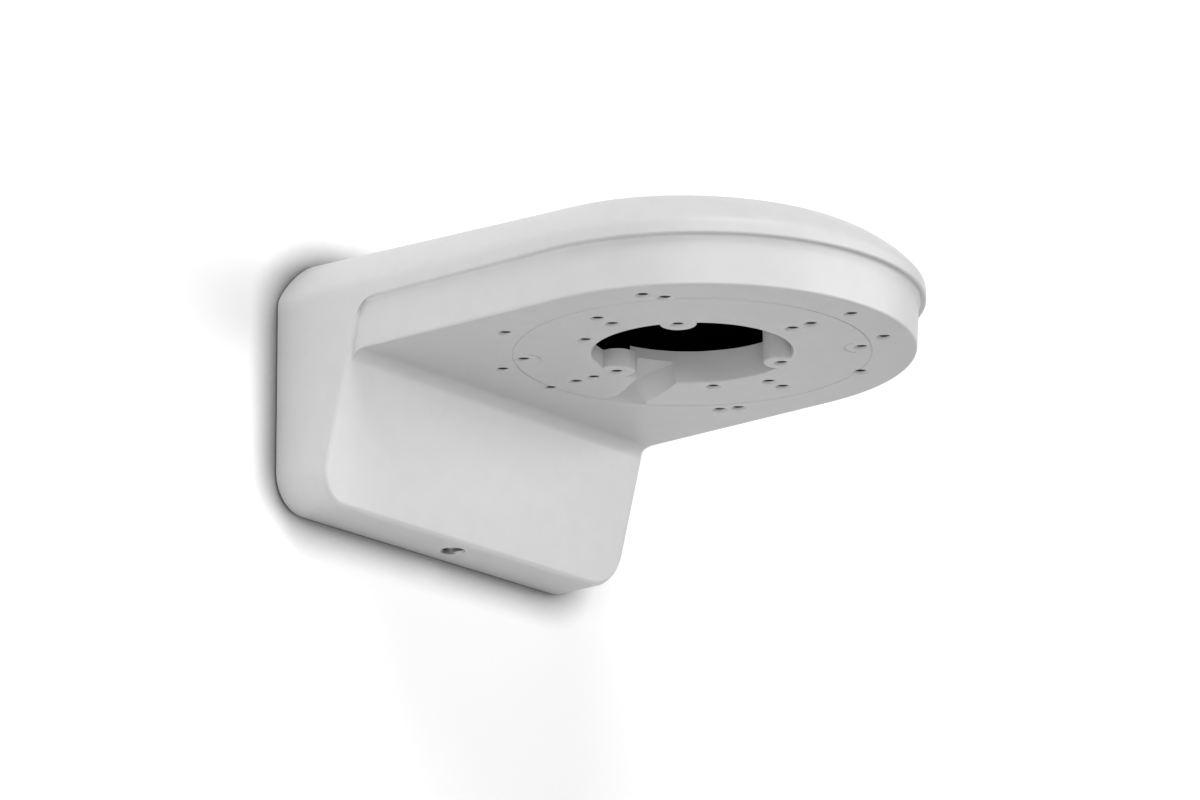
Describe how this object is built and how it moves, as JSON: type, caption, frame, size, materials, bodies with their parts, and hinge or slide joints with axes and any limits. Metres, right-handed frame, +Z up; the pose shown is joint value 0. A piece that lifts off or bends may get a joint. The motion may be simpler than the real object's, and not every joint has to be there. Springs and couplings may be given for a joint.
{
  "type": "security camera wall bracket",
  "caption": "L-shaped wall bracket for a dome security camera: a hollow cast arm with a drilled seat and cable opening hangs on a hooked wall plate and is locked by a set screw.",
  "frame": {"origin": "on the wall plane, at mid-width, level with the camera seat", "axes": "+Z up, -Y out of the wall along the arm, +X to the right seen from behind the wall, which is also the symmetry direction"},
  "size_m": [0.122, 0.1793, 0.0725],
  "materials": {
    "powder_coat": "white fine-textured powder coat on cast aluminium, satin",
    "stainless": "turned stainless steel, satin",
    "zinc_plate": "zinc-plated sheet steel",
    "zinc_screw": "zinc-plated steel",
    "plug_plastic": "moulded polyamide, matt"
  },
  "bodies": {
    "wall_side": {"wall_plate": "zinc_plate", "wall_screw_1": "zinc_screw", "wall_screw_2": "zinc_screw", "wall_screw_3": "zinc_screw", "wall_screw_4": "zinc_screw", "wall_washer_1": "zinc_screw", "wall_washer_2": "zinc_screw", "wall_washer_3": "zinc_screw", "wall_washer_4": "zinc_screw", "wall_anchor_1": "plug_plastic", "wall_anchor_2": "plug_plastic", "wall_anchor_3": "plug_plastic", "wall_anchor_4": "plug_plastic"},
    "bracket": {"bracket_body": "powder_coat"},
    "lock_screw": {"locking_screw": "stainless"}
  },
  "joints": [
    {"name": "bracket_lift", "type": "slide", "parent": "wall_side", "child": "bracket", "axis": [0, 0, 1], "range_m": [0, 0.006]},
    {"name": "lock_screw_travel", "type": "slide", "parent": "bracket", "child": "lock_screw", "axis": [0, 0, -1], "range_m": [0, 0.006]}
  ],
  "couplings": [
    {"joint": "lock_screw_travel", "follows": "bracket_lift", "ratio": 1}
  ]
}
